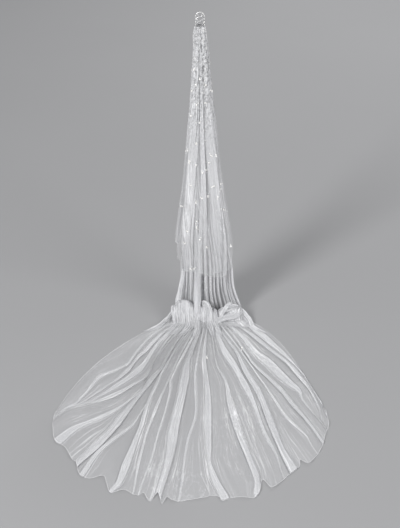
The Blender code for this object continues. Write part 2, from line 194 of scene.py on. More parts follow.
FAN_FOLDS = (
    # side it lies to, bearing where it starts, then the places that it passes,
    # (photo_x, photo_y, width in the photo)
    (1, -56, (
        (132, 360.5, 1.2), (121.8, 367, 1.2), (104.5, 374, 1.5), (96, 383.5, 1.3), (88, 392, 0.8),
    )),
    (-1, -51, (
        (148, 349, 3.5), (140, 356, 4.5), (126, 371, 4.0), (114, 382, 2.5), (100, 391, 1.0),
    )),
    (1, -46, (
        (152, 352, 5.0), (138, 371, 6.0), (121, 386, 6.0), (104, 396.5, 3.0), (90, 404, 1.2),
    )),
    (-1, -41.5, (
        (141.9, 380.6, 1.5), (122.7, 395, 2.5), (107.4, 403.6, 4.0), (93, 409.3, 4.0),
        (78.7, 408.8, 4.5), (70, 406, 5.0), (57, 415, 7.0),
    )),
    (1, -37.5, (
        (138, 393, 1.2), (119, 410.5, 2.0), (109.3, 417, 3.0), (96, 422, 4.0), (84, 425.5, 4.0),
        (73, 431, 7.0), (60, 441, 10.0),
    )),
    (-1, -32.5, (
        (162, 367, 4.5), (150.5, 381.6, 7.0), (136, 399.8, 8.5), (118.9, 419.9, 9.0),
        (101.7, 441.9, 9.0), (80, 461, 5.5),
    )),
    (1, -28, (
        (158, 385, 0.8), (139, 416, 1.2), (131.3, 425.6, 1.8), (117, 437, 2.4), (99.8, 451.4, 3.4),
        (83, 475, 4.5),
    )),
    (1, -24.5, (
        (167.7, 362.4, 3.0), (157.2, 384.4, 3.5), (151.4, 401.7, 6.0), (144.7, 420.8, 7.0),
        (136, 440.9, 7.0), (125.6, 466.7, 6.0), (118.9, 484, 4.0), (112, 491, 2.5),
    )),
    (-1, -20, (
        (166, 385, 1.0), (155, 413, 1.6), (147.6, 431.3, 1.5), (141.9, 450.5, 1.5), (138.5, 464.8, 1.2),
        (134, 490, 0.8),
    )),
    (1, -16, (
        (171.5, 377, 1.8), (170.5, 391, 1.6), (166, 411, 1.0), (160, 430, 1.2), (152, 455, 0.8),
    )),
    (-1, -11, (
        (187.8, 359.6, 7.5), (184, 378.7, 7.5), (179.2, 403.6, 8.0), (173.4, 431.3, 9.5),
        (168.7, 457.2, 6.5), (160, 486.8, 5.0), (156.5, 499, 6.0),
    )),
    (1, -6.5, (
        (196, 370, 1.5), (196.4, 412, 1.6), (188.8, 441, 1.8), (184, 465, 1.4), (180, 492, 1.0),
    )),
    (-1, -1, (
        (204.3, 350, 2.8), (205.7, 378.7, 3.8), (207.2, 407.4, 5.0), (208.1, 445.7, 4.6),
        (208.4, 459, 3.2), (213.4, 476.3, 6.0), (223, 498, 8.0),
    )),
    (1, 5.5, (
        (217.2, 364.4, 1.2), (225.8, 381.6, 2.2), (229.7, 402.6, 4.0), (235.4, 421.8, 5.5),
        (242.1, 440.9, 5.5), (249.8, 460, 4.5), (256.5, 475.4, 5.0), (258, 488, 7.0),
    )),
    (-1, 12, (
        (223, 350, 5.0), (232.5, 364.4, 5.5), (241.1, 380.6, 5.5), (250.7, 399.8, 3.4),
        (258.4, 418.9, 2.6), (266, 436.1, 2.4), (275, 452, 1.4), (281, 470, 0.8),
    )),
    (1, 18, (
        (235.4, 350, 3.0), (244, 368.2, 5.0), (255.5, 388.3, 7.0), (265, 409.3, 8.0),
        (273.7, 429.4, 8.0), (282.3, 449.5, 9.0), (292.5, 468, 17.0),
    )),
    (-1, 24.5, (
        (256, 374, 1.2), (276.6, 403.6, 1.4), (289, 419.9, 1.4), (305, 434, 0.7), (313, 447, 0.4),
    )),
    (1, 30.5, (
        (250.7, 360.5, 2.0), (269, 378.7, 3.0), (281.3, 391, 3.4), (291.9, 403.6, 3.4),
        (301.4, 414, 3.0), (312, 427, 3.0), (321.5, 440.5, 3.4),
    )),
    (-1, 37.5, (
        (251.7, 350, 4.5), (262.2, 358.6, 7.0), (273.7, 370, 7.5), (284.2, 379.7, 5.5),
        (291.9, 385.4, 3.0), (299.5, 396.9, 1.2), (312, 412, 0.8),
    )),
    (1, 46, (
        (262, 344, 4.0), (279.4, 357.7, 4.0), (289, 369, 3.2), (298.6, 381.6, 2.2), (312, 403.6, 1.6),
        (318, 415, 1.0),
    )),
    (-1, 55, (
        (270, 343, 4.5), (283.3, 355.0, 5.0), (300.4, 373, 5.0), (314, 391, 3.2), (322, 409.3, 2.0),
        (325, 420, 1.5),
    )),
)
PHOTO_SCALE = 0.0047  # metres for each pixel of the photograph, across the veil
FOLD_LAYERS = 1.8  # how much closer the net lies where it is folded
FOLD_RISE = 0.0021  # radius of a fold's turns, at most
FOLD_RISE_SHARE = 0.05  # of the room for the fold
FOLD_ROOM = 0.84  # share of the room that a fold may take
FOLD_SPACING = 0.30  # degrees between neighbouring folds at least
PUFF, PUFF_PANEL = 0.009, 0.10  # lift of a panel, and the width from where it is full
PUFF_FROM = 0.3  # share of the way to the hem from where it is full
FAN_SWING = 0.35  # degrees by which the folds wander to the sides

# The cloth that pools where the fall meets the floor, one gathered mass with ropes of folds on it
POOL_NODES = ("pool_roll_left", "pool_roll_middle", "pool_roll_right")
POOL_SECTIONS = (
    # place from left to right, height, how far forward it reaches
    (-0.160, 0.012, 0.050),
    (-0.150, 0.058, 0.084),
    (-0.118, 0.108, 0.096),
    (-0.075, 0.118, 0.098),
    (-0.048, 0.094, 0.098),
    (-0.015, 0.054, 0.104),
    (0.005, 0.074, 0.106),
    (0.030, 0.096, 0.104),
    (0.056, 0.080, 0.098),
    (0.090, 0.046, 0.092),
    (0.125, 0.052, 0.090),
    (0.170, 0.066, 0.092),
    (0.215, 0.068, 0.088),
    (0.238, 0.046, 0.076),
    (0.250, 0.012, 0.050),
)
POOL_PLEATS = 36
POOL_PLEAT_DEPTH = 0.0085
POOL_APRON = 0.075  # how far its front runs out over the train
POOL_WIDTH, POOL_LENGTH = 0.90, 0.30  # what its form takes up of the cut
POOL_GATHER, POOL_LAYERS = 0.95, 3.2
ROPES = (
    # name, radius, pleats, twist in turns, then the points that its middle passes,
    # (x, y, height over the floor), all in millimetres
    ("pool_sweep_left", 15.5, 9, 0.35, (
        (-92, -40, 290), (-104, -50, 205), (-118, -62, 128), (-124, -80, 96), (-108, -94, 90),
        (-82, -104, 84), (-60, -122, 66), (-46, -150, 34), (-40, -190, 12),
    )),
    ("pool_fold_left", 21.5, 10, -0.15, (
        (-138, -60, 44), (-147, -82, 62), (-146, -112, 56), (-134, -144, 30), (-136, -190, 6),
    )),
    ("pool_fold_left_front", 21.5, 10, 0.20, (
        (-102, -60, 90), (-109, -83, 104), (-107, -122, 74), (-100, -156, 28), (-112, -210, 4),
    )),
    ("pool_fold_inner", 20.5, 9, -0.20, (
        (-70, -62, 88), (-76, -88, 98), (-72, -130, 60), (-66, -166, 20), (-76, -220, 4),
    )),
    ("pool_fold_centre", 19, 9, 0.15, (
        (-30, -120, 40), (-24, -146, 34), (-16, -172, 18), (-14, -226, 4),
    )),
    ("pool_arch_middle", 20, 9, 0.30, (
        (2, -70, 56), (10, -82, 86), (26, -92, 96), (44, -106, 84), (56, -132, 50), (58, -166, 16),
        (64, -216, 4),
    )),
    ("pool_arch_under", 19, 8, -0.25, (
        (14, -88, 34), (16, -106, 44), (19, -124, 42), (21, -140, 30),
    )),
    ("pool_fold_middle", 16.5, 8, -0.20, (
        (80, -78, 46), (84, -104, 50), (86, -134, 36), (84, -162, 14), (96, -210, 4),
    )),
    ("pool_fold_right", 19, 9, 0.20, (
        (205, -70, 56), (236, -86, 42), (262, -112, 20), (286, -156, 6), (296, -204, 4),
    )),
    ("pool_fold_far_left", 15, 8, -0.20, (
        (-140, -62, 46), (-156, -82, 32), (-174, -106, 17), (-202, -142, 6), (-234, -194, 4),
    )),
    ("pool_knot_lower", 21.5, 11, 0.50, (
        (84, -168, 10), (110, -152, 24), (144, -146, 34), (182, -142, 40), (214, -130, 46),
        (234, -108, 46), (238, -84, 36),
    )),
    ("pool_knot_upper", 21.5, 11, -0.55, (
        (106, -86, 30), (122, -104, 52), (152, -112, 70), (186, -106, 78), (214, -88, 70),
        (228, -68, 46),
    )),
    ("pool_knot_cross", 14, 8, 0.40, (
        (116, -150, 36), (130, -136, 62), (150, -122, 86), (170, -98, 98), (180, -70, 90),
    )),
)
ROPE_GATHER = 2.6  # layers of net that a rope shows
ROPE_TAIL = 0.11  # how far a rope's end runs on over the train
ROPE_OPENING = math.radians(70)  # left open underneath, where a rope lies on other cloth

# The band of pleats that passes over the pool in front
STRAND_X = -0.0150
STRAND_SECTIONS = (
    # distance along the band, drop, forward of the fall's middle, half_width
    (0.000, 1.463, 0.0502, 0.0190),
    (0.070, 1.530, 0.0640, 0.0195),
    (0.140, 1.596, 0.0860, 0.0200),
    (0.200, 1.647, 0.1160, 0.0205),
    (0.240, 1.678, 0.1410, 0.0215),
    (0.275, 1.694, 0.1720, 0.0225),
)
STRAND_DEPTH = 0.0042
STRAND_BEHIND = 0.26  # how far up behind the upper tier it starts
STRAND_WIDTH, STRAND_LENGTH = 0.16, 0.53  # what its pleats take up of the cut
STRAND_LAYERS = 5.0

# The beaded wire arch over the comb, with its two vines
ARCH_WIDTH = 0.0440
ARCH_HEIGHT = 0.0700
ARCH_PEARLS = 31
ARCH_PEARL, ARCH_PEARL_LARGE, ARCH_CRYSTAL = 0.0017, 0.0029, 0.0012  # radii
VINE_BEADS = 15
VINE_TURNS = 0.95
VINE_Y = 0.0042
VINE_PEARL, VINE_CRYSTAL = 0.0021, 0.0014

# Clusters of pearls and crystals on the cloth, where the photograph shows them
CLUSTERS = (
    # photo_x, photo_y, beads
    (191.6, 91, 4), (212, 91, 4), (191, 116, 3), (196, 144, 5), (188, 151, 6), (211, 155.5, 7),
    (216, 155, 4), (189, 161, 3), (196, 165, 4), (202.5, 173, 4), (191, 185.6, 5), (213, 186.5, 7),
    (220.7, 184, 3), (220.7, 189, 4), (202, 198.6, 4), (196, 203, 4), (181, 206, 5), (223.3, 209.5, 6),
    (196.8, 221.5, 4), (196.8, 228, 5), (187.7, 231.6, 4), (200, 239.7, 4), (185, 243.5, 3),
    (206.4, 247, 4), (231, 246.5, 3), (190.4, 269, 3), (194, 269, 4), (206, 85, 4), (193.8, 70, 4),
    (199.8, 79.5, 4), (195.7, 84.5, 4), (205, 103, 3), (196.5, 105, 4), (199.5, 123, 3), (186, 151, 3),
    (189, 163, 3), (206.5, 170, 3), (208, 196, 4), (218, 197, 3), (209, 163, 3), (242, 347.6, 4),
    (207, 358, 4),
)
CLUSTER_BEAD, CLUSTER_SMALL = 0.0046, (0.0024, 0.0034)  # radius of its middle bead and of the others
CLUSTER_RING = (0.9, 2.2)  # how far out they lie, in pixels of the photograph
SPRAY_BEAD = (0.0013, 0.0022)
SPRAY_DOWN_TO = 1.2

# The stage
FLOOR_RADIUS = 16.0
SKY_COLOUR, SKY_STRENGTH = (0.80, 0.81, 0.83, 1), 0.43
LAMPS = (
    # name, place, where it points, size, power
    ("key", (-5.4, -7.0, 3.6), (0, -0.4, -1.0), 2.8, 860),
    ("fill", (6.8, -5.6, 3.1), (0, -0.4, -1.1), 6.0, 448),
    ("rim", (2.4, 6.7, 4.6), (0, -0.3, -1.0), 4.4, 440),
)


def lerp(a, b, t):
    return a + (b - a) * t


def ease(t):
    t = np.clip(t, 0.0, 1.0)
    return t * t * (3 - 2 * t)


def curve(table, column, at):
    """A column of a table as a smooth curve through its rows. The first column is the position."""
    rows = np.array(table, float)
    x, y = rows[:, 0], rows[:, column]
    slope = np.empty_like(y)
    slope[1:-1] = (y[2:] - y[:-2]) / (x[2:] - x[:-2])
    slope[0] = (y[1] - y[0]) / (x[1] - x[0])
    slope[-1] = (y[-1] - y[-2]) / (x[-1] - x[-2])
    i = np.clip(np.searchsorted(x, at, side="right") - 1, 0, len(x) - 2)
    span = x[i + 1] - x[i]
    t = np.clip((at - x[i]) / span, 0, 1)
    return (
        y[i] * (1 + 2 * t) * (1 - t) ** 2
        + slope[i] * span * t * (1 - t) ** 2
        + y[i + 1] * t * t * (3 - 2 * t)
        + slope[i + 1] * span * t * t * (t - 1)
    )


def through(near, middle, hem, t):
    """The smooth curve with these values at 0, one half and 1."""
    return near * (1 - t) * (1 - 2 * t) + middle * 4 * t * (1 - t) + hem * t * (2 * t - 1)


def wander(seed, shape, cells):
    """Smooth noise of about -1 to 1 over a grid, with this many cells down and across."""
    knots = np.random.default_rng(seed).uniform(-1.6, 1.6, (cells[0] + 3, cells[1] + 3))
    for axis in (0, 1):
        at = np.linspace(0, cells[axis], shape[axis])
        i = np.minimum(at.astype(int), cells[axis] - 1)
        t = at - i
        weights = ((1 - t) ** 3, 3 * t**3 - 6 * t**2 + 4, -3 * t**3 + 3 * t**2 + 3 * t + 1, t**3)
        spread = (slice(None), None) if axis == 0 else (None, slice(None))
        knots = sum(w[spread] * np.take(knots, i + j, axis) / 6 for j, w in enumerate(weights))
    return knots


def ripples(table, phase, shape):
    """Fine folds that ride on the pleats."""
    return sum(
        size * np.sin(2 * np.pi * (number * phase + drift * wander(seed, shape, cells)))
        for size, number, drift, seed, cells in table
    )


# Materials


class Nodes:
    """A material's node tree, with short calls to add and join nodes."""

    def __init__(self, name):
        self.material = bpy.data.materials.new(name)
        self.material.use_nodes = True
        self.tree = self.material.node_tree
        self.shader = self.tree.nodes["Principled BSDF"]

    def set(self, **values):
        for name, value in values.items():
            self.shader.inputs[name.replace("_", " ")].default_value = value

    def add(self, kind, inputs=None, **settings):
        node = self.tree.nodes.new("ShaderNode" + kind)
        for name, value in settings.items():
            setattr(node, name, value)
        for name, value in (inputs or {}).items():
            if isinstance(value, bpy.types.NodeSocket):
                self.tree.links.new(value, node.inputs[name])
            else:
                node.inputs[name].default_value = value
        return node

    def math(self, operation, a, b=0.0):
        return self.add("Math", {0: a, 1: b}, operation=operation).outputs[0]

    def ramp(self, value, low, high, to_low=0.0, to_high=1.0):
        inputs = {"Value": value, "From Min": low, "From Max": high, "To Min": to_low, "To Max": to_high}
        return self.add("MapRange", inputs, clamp=True).outputs["Result"]

    def noise(self, where, scale, detail=2.0, stretch=(1, 1, 1)):
        place = self.add("Mapping", {"Vector": where, "Scale": stretch}).outputs[0]
        return self.add("TexNoise", {"Vector": place, "Scale": scale, "Detail": detail}).outputs["Fac"]

    def bump(self, height, distance, normal=None):
        inputs = {"Height": height, "Distance": distance, "Strength": 1.0}
        if normal is not None:
            inputs["Normal"] = normal
        return self.add("Bump", inputs).outputs["Normal"]

    def join(self, value, name):
        self.tree.links.new(value, self.shader.inputs[name])

    def tint(self, factor, dark, light):
        """The base colour, between two tones."""
        tones = {"Factor": factor, "A": (*dark, 1), "B": (*light, 1)}
        self.join(self.add("Mix", tones, data_type="RGBA").outputs["Result"], "Base Color")

    def carried(self, name, output="Fac"):
        """What the mesh carries at each point."""
        return self.add("Attribute", attribute_name=name).outputs[output]

    def here(self):
        return self.add("TexCoord").outputs["Object"]

    def crease(self, noise, width):
        """Thin lines along the middle values of a noise."""
        return self.ramp(self.math("ABSOLUTE", self.math("SUBTRACT", noise, 0.5)), 0.0, width, 1.0, 0.0)


def net_material():
    """Soft white net: fine meshes, long thin creases along the cloth, and its cover set by each piece."""
    n = Nodes("silk_net")
    cut, cover, lace = n.carried("cut", "Vector"), n.carried("cover"), n.carried("lace")
    threads = n.add(
        "TexVoronoi",
        {"Vector": cut, "Scale": 420.0, "Randomness": 0.45},
        voronoi_dimensions="2D",
        feature="DISTANCE_TO_EDGE",
    ).outputs["Distance"]
    thread = n.ramp(threads, 0.04, 0.16, 1.5, 0.72)
    drift = n.noise(cut, 1.0, 1.0, (5.0, 1.6, 1.0))
    fine = n.noise(cut, 1.0, 1.0, (95.0, 2.2, 1.0))
    broad = n.noise(cut, 1.0, 2.0, (24.0, 1.4, 1.0))
    crumple = n.noise(cut, 1.0, 3.0, (46.0, 13.0, 1.0))
    line, bent = n.crease(fine, 0.045), n.crease(crumple, 0.03)
    where = n.ramp(broad, 0.42, 0.66)
    elsewhere = n.ramp(drift, 0.45, 0.65, 0.0, 0.5)
    lines = n.math("ADD", n.math("MULTIPLY", line, where), n.math("MULTIPLY", bent, elsewhere))
    creased = n.math("ADD", n.math("MULTIPLY", lines, 1.15), 0.80)
    soft = n.ramp(broad, 0.3, 0.7, 0.80, 1.18)
    motif = n.noise(n.here(), 85.0, 2.0, (1.0, 1.0, 0.7))
    holes = {"Factor": lace, "A": 1.0, "B": n.ramp(motif, 0.40, 0.54, 0.25, 1.0)}
    open_work = n.add("Mix", holes, data_type="FLOAT").outputs["Result"]
    alpha = n.math("MULTIPLY", n.math("MULTIPLY", cover, thread), n.math("MULTIPLY", creased, soft))
    alpha = n.math("MULTIPLY", alpha, open_work)
    n.join(n.math("MINIMUM", alpha, 0.97), "Alpha")
    n.tint(broad, (0.70, 0.705, 0.725), (0.80, 0.80, 0.81))
    n.join(n.ramp(drift, 0.3, 0.7, 0.55, 0.75), "Roughness")
    relief = n.bump(n.math("MULTIPLY", motif, lace), 0.012)
    n.join(n.bump(fine, 0.0045, n.bump(crumple, 0.0030, relief)), "Normal")
    n.set(Sheen_Weight=0.06, Sheen_Roughness=0.4, Specular_IOR_Level=0.35)
    return n.material


def hem_material():
    """The rolled hem: tightly turned net, with the small bumps of its overcast stitches."""
    n = Nodes("rolled_hem")
    stitch = n.noise(n.here(), 700.0, 1.0)
    n.tint(stitch, (0.82, 0.82, 0.84), (0.93, 0.93, 0.94))
    n.join(n.bump(stitch, 0.0003), "Normal")
    n.set(Roughness=0.7, Sheen_Weight=0.2, Alpha=0.6)
    return n.material


def pearl_material():
    """Imitation pearl, with a clouded, slightly uneven lustre."""
    n = Nodes("pearl")
    cloud = n.noise(n.here(), 160.0, 3.0)
    n.tint(cloud, (0.86, 0.84, 0.80), (0.98, 0.97, 0.95))
    n.join(n.ramp(cloud, 0.3, 0.7, 0.16, 0.3), "Roughness")
    n.set(Coat_Weight=0.6, Coat_Roughness=0.08, Specular_IOR_Level=0.6)
    return n.material


def crystal_material():
    """Backed cut crystal, bright and hard."""
    n = Nodes("crystal")
    cloud = n.noise(n.here(), 260.0, 1.0)
    n.tint(cloud, (0.86, 0.89, 0.93), (1.0, 1.0, 1.0))
    n.join(n.ramp(cloud, 0.3, 0.7, 0.04, 0.1), "Roughness")
    n.set(Metallic=0.35, Coat_Weight=1.0, Coat_Roughness=0.03, Specular_IOR_Level=0.9)
    return n.material


def silver_material():
    """Polished wire and comb metal, with faint drawing lines and small dull spots."""
    n = Nodes("silver_wire")
    lines = n.noise(n.here(), 1.0, 2.0, (2500.0, 2500.0, 180.0))
    spots = n.noise(n.here(), 210.0, 3.0)
    n.tint(spots, (0.50, 0.50, 0.52), (0.68, 0.68, 0.69))
    n.join(n.ramp(spots, 0.35, 0.7, 0.18, 0.36), "Roughness")
    n.join(n.bump(lines, 0.00004), "Normal")
    n.set(Metallic=1.0)
    return n.material


def floor_material():
    n = Nodes("studio_floor")
    n.tint(n.noise(n.here(), 0.5, 3.0), (0.29, 0.29, 0.295), (0.31, 0.31, 0.315))
    n.set(Roughness=0.9, Specular_IOR_Level=0.1)
    return n.material


# Meshes


def add_object(name, mesh, look, smooth=True):
    mesh.validate()
    if smooth:
        mesh.shade_smooth()
    mesh.materials.append(look)
    made = bpy.data.objects.new(name, mesh)
    bpy.context.scene.collection.objects.link(made)
    return made


def put_attribute(mesh, name, kind, field, values):
    attribute = mesh.attributes.new(name, kind, "POINT")
    attribute.data.foreach_set(field, np.ascontiguousarray(values, np.float32).ravel())


def lengths_across(points):
    """Distance from each column to the next, row by row."""
    return np.linalg.norm(np.diff(points, axis=1), axis=2)


def turning(points):
    """How sharply the cloth turns across each column, from 0, flat, to 1, a fold of 3 mm radius or less."""
    step = np.diff(points, axis=1)
    length = np.maximum(np.linalg.norm(step, axis=2), 1e-7)
    unit = step / length[..., None]
    cosine = np.clip((unit[:, 1:] * unit[:, :-1]).sum(2), -1, 1)
    sharp = np.arccos(cosine) / ((length[:, 1:] + length[:, :-1]) / 2)
    fold = np.zeros(points.shape[:2])
    fold[:, 1:-1] = np.clip(sharp * 0.003, 0, 1)
    fold[:, 1:-1] = (fold[:, :-2] + 2 * fold[:, 1:-1] + fold[:, 2:]) / 4
    return fold


def sheet_cover(points, width, most=9.0, closeness=1.0):
    """Share of the light that the cloth stops at each point: more where it is gathered, and at folds."""
    made = lengths_across(points).sum(1)
    layers = closeness * np.clip(width / made, 0.8, most)[:, None] * (1 + 0.8 * turning(points))
    return 1 - (1 - NET_COVER) ** layers


def fade_out(cover, rows, power=1.0):
    """The last rows of a sheet thin out to nothing."""
    cover[-rows:] *= np.linspace(1, 0, rows)[:, None] ** power


def lace_of(points):
    """How much of the embroidery the cloth carries: all of it near the comb, none further down."""
    drop = -points[..., 2]
    return 1 - ease((drop - LACE_FULL_TO) / (LACE_ENDS - LACE_FULL_TO))


def grid_sheet(name, points, cover, look, cut_length, lace=0.0):
    """A smooth sheet through a grid of points, rows by columns, with its flat cloth coordinates."""
    rows, columns = points.shape[:2]
    index = np.arange(rows * columns).reshape(rows, columns)
    corners = (index[:-1, :-1], index[1:, :-1], index[1:, 1:], index[:-1, 1:])
    faces = np.stack(corners, -1).reshape(-1, 4)
    mesh = bpy.data.meshes.new(name)
    mesh.from_pydata(points.reshape(-1, 3).tolist(), [], faces.tolist())
    middle = lengths_across(points)[2 * rows // 3]
    across = np.concatenate([[0], np.cumsum(middle)])
    along = np.linspace(0, cut_length, rows)
    cut = np.zeros((rows, columns, 3))
    cut[..., 0] = across[None, :]
    cut[..., 1] = along[:, None]
    put_attribute(mesh, "cut", "FLOAT_VECTOR", "vector", cut)
    put_attribute(mesh, "cover", "FLOAT", "value", cover)
    put_attribute(mesh, "lace", "FLOAT", "value", np.broadcast_to(lace, cover.shape))
    return add_object(name, mesh, look)


def tube(path, radius, sides=6):
    """Vertices and faces of a round tube along a path of points, with closed ends."""
    path = np.asarray(path, float)
    tangent = np.gradient(path, axis=0)
    tangent /= np.maximum(np.linalg.norm(tangent, axis=1, keepdims=True), 1e-9)
    helper = np.where(np.abs(tangent[:, 2:3]) < 0.9, [[0.0, 0.0, 1.0]], [[0.0, 1.0, 0.0]])
    side = np.cross(tangent, helper)
    side /= np.linalg.norm(side, axis=1, keepdims=True)
    other = np.cross(tangent, side)
    turn = 2 * np.pi * np.arange(sides) / sides
    ring = side[:, None] * np.cos(turn)[None, :, None] + other[:, None] * np.sin(turn)[None, :, None]
    vertices = (path[:, None] + radius * ring).reshape(-1, 3)
    faces = []
    for i in range(len(path) - 1):
        for j in range(sides):
            k = (j + 1) % sides
            faces.append((i * sides + j, i * sides + k, (i + 1) * sides + k, (i + 1) * sides + j))
    faces.append(tuple(range(sides))[::-1])
    faces.append(tuple((len(path) - 1) * sides + j for j in range(sides)))
    return vertices, faces


def joined(name, parts, look, smooth=True):
    """One mesh of many small ones, each given as its vertices and faces."""
    vertices, faces, start = [], [], 0
    for points, sides in parts:
        vertices.extend(np.asarray(points).tolist())
        faces.extend(tuple(i + start for i in face) for face in sides)
        start += len(points)
    mesh = bpy.data.meshes.new(name)
    mesh.from_pydata(vertices, [], faces)
    return add_object(name, mesh, look, smooth)


def ball(subdivisions):
    """Vertices and faces of a unit ball."""
    shape = bmesh.new()
    bmesh.ops.create_icosphere(shape, subdivisions=subdivisions, radius=1.0)
    shape.verts.ensure_lookup_table()
    points = np.array([v.co[:] for v in shape.verts])
    faces = [tuple(v.index for v in f.verts) for f in shape.faces]
    shape.free()
    return points, faces


# The long tier where it hangs


def fall_points(rows=150, per_pleat=20):
    count = len(FALL_PLEATS)
    columns = count * per_pleat
    drop = np.linspace(FALL_TOP, FALL_HEIGHT - OFF_FLOOR, rows)[:, None]
    q = np.linspace(0.25, count - 0.25, columns)[None, :]
    k = np.minimum(q.astype(int), count - 1)
    shares, heights = np.array(FALL_PLEATS).T
    evenness = 1 - ease(drop / EVEN_DOWN_TO)
    share = lerp(shares[k], 1.0, evenness)
    front = lerp(heights[k], 1.0, evenness)
    calm = np.ones((rows, columns))
    for pleat, half, wider, first in FALL_GAPS:
        gap = np.exp(-(((q - pleat) / half) ** 4)) * ease((drop - first) / 0.2)
        share = share * (1 + (wider - 1) * gap)
        calm = calm * (1 - 0.92 * gap)
    centre, half_width, half_depth = (curve(FALL_SECTIONS, c, drop) for c in (1, 2, 3))
    place = np.cumsum(share, 1) - share / 2
    place = 2 * (place - place[:, :1]) / (place[:, -1:] - place[:, :1]) - 1
    pitch = 2 * half_width * share / share.mean(1, keepdims=True) / count
    deep = half_depth * np.sqrt(1 - BUNDLE_ROUNDING * place**2)
    front_share, lowest, highest = (
        np.tanh(DWELL_SHARPNESS * (FRONT_DWELL + swing)) for swing in (-np.cos(2 * np.pi * q), -1, 1)
    )
    wave = (front_share - lowest) / (highest - lowest)
    edge = (1 - EDGE_BACK) / 2
    for end in (q, count - q):
        first = ease((end - 0.25) / 0.25)
        wave = np.where(end < 0.5, edge + (1 - edge) * first, wave)
    shape = (rows, columns)
    fine = ripples(FALL_RIPPLES, q, shape)
    fine = fine * (0.6 + 0.6 * wander(3, shape, (5, 30))) * ease((drop + 0.05) / 0.4)
    wave = 0.5 + (wave - 0.5) * calm * (1 - 0.10 * (1 + wander(4, shape, (4, 14)))) + 0.8 * fine
    wave = np.clip(wave, -0.03, 1.04)
    outwards = np.tanh((q - count / 2) / 1.5)
    lean = outwards * pitch * (1.95 + 0.6 * wander(5, shape, (3, 12)))
    x = centre + half_width * 0.985 * place + lean * (wave - 0.5) * (1 - 0.6 * np.abs(place) ** 6)
    x = x + 0.22 * pitch * wander(6, shape, (5, 20)) * ease(drop / 0.5)
    within = np.clip(wave, 0, 1)
    standing = wave - within + lerp(within, ease(ease(within)), PLEAT_OVERLAP)
    y = FALL_Y - (-deep + deep * (front + 1) * standing)
    z = -drop + 0 * q
    return np.stack([x, y, z], -1)


# The upper tier


def tier_points(rows=140, per_wave=27):
    """The tier's points, and where it hangs loose in one layer at the sides."""
    columns = TIER_WAVES * per_wave + 1
    v = np.linspace(0, 1, rows)[:, None]
    share = np.linspace(-1, 1, columns)[None, :]
    shape = (rows, columns)
    angle = np.degrees(share * TIER_HALF_SWEEP)
    scallop = 0.016 * wander(11, (2, columns), (1, 17))[:1]
    steps = 0.030 * wander(18, (2, columns), (1, 40))[:1] * (1 - ease((np.abs(angle) - 40) / 25))
    hem = curve(TIER_HEM, 1, angle) + scallop + steps
    drop = lerp(TIER_SECTIONS[0][0], hem, v)
    opened = ease((drop - TIER_OPENS[0]) / (TIER_OPENS[1] - TIER_OPENS[0]))
    turn = share * lerp(TIER_SWEEP_AT_COMB, TIER_HALF_SWEEP, opened)
    centre, half_width, half_depth = (curve(TIER_SECTIONS, c, drop) for c in (1, 2, 3))
    across, forward = np.sin(turn), np.cos(turn)
    reach = (np.abs(across) ** TIER_SQUARENESS + np.abs(forward) ** TIER_SQUARENESS) ** (-1 / TIER_SQUARENESS)
    base = np.stack([centre + across * half_width * reach, FALL_Y - forward * half_depth * reach], -1)
    tangent = np.gradient(base, axis=1)
    step = np.linalg.norm(tangent, axis=2, keepdims=True)
    tangent = tangent / step
    pitch = step[..., 0] * per_wave
    waves = (share + 1) / 2 * TIER_WAVES + 0.20 * wander(12, shape, (3, 9))
    wave = 0.5 - 0.5 * np.tanh(1.3 * np.cos(2 * np.pi * waves)) / np.tanh(1.3)
    depth = 2 * lerp(TIER_WAVE_AT_TOP, TIER_WAVE_AT_HEM, ease(drop / TIER_WAVE_FULL))
    side = np.exp(-(((np.abs(angle) - TIER_SIDE_AT) / TIER_SIDE_SPREAD) ** 4)) * ease((drop - 0.5) / 0.35)
    fine = ripples(TIER_RIPPLES, waves, shape) * (0.55 + 0.6 * wander(15, shape, (4, 26)))
    strength = (1 - 0.75 * side) * (0.8 + 0.25 * wander(16, shape, (3, 12)))
    wave = np.clip(0.5 + (wave - 0.5) * strength + fine * (1 - 0.6 * side), -0.05, 1.05)
    lean = np.tanh(share / 0.12) * pitch * (1.55 + 0.5 * wander(17, shape, (3, 9))) * (1 - 0.7 * side)
    lean = lean * (1 - 0.8 * np.abs(share) ** 10)
    out = -depth * (1 - wave) * (1 - 0.9 * side)
    outward = np.stack([across, -forward], -1)
    flat = base + outward * out[..., None] + tangent * (lean * (wave - 0.5))[..., None]
    return np.concatenate([flat, -drop[..., None]], -1), side


# The train


def foot_reach(bearing):
    """From the foot of the fall to the front of the pooled cloth, where the train starts."""
    turn = math.radians(bearing)
    depth = POOL_BACK + ROLL_DEPTH + 2 * SEAM
    across, forward = abs(math.sin(turn)) / FOOT_HALF_WIDTH, math.cos(turn) / depth
    return (across**FOOT_SQUARENESS + forward**FOOT_SQUARENESS) ** (-1 / FOOT_SQUARENESS)


def fan_line(bearings, t):
    """A line over the floor from the pooled cloth to the hem, with its bearing at each share of the way."""
    reach = lerp(foot_reach(bearings[0]), curve(TRAIN_HEM, 1, bearings[-1]), t)
    turn = np.radians(bearings)
    return np.stack([FAN_X + reach * np.sin(turn), FALL_Y - reach * np.cos(turn)], -1)


def on_floor(photo_x, photo_y):
    """Bearing and reach, from the fan's middle, of a place on the floor in the photograph."""
    start, direction = along_view(photo_x, photo_y)
    place = start + direction * ((FLOOR - start.z) / direction.z)
    x, y = place.x - FAN_X, FALL_Y - place.y
    return math.degrees(math.atan2(x, y)), math.hypot(x, y)


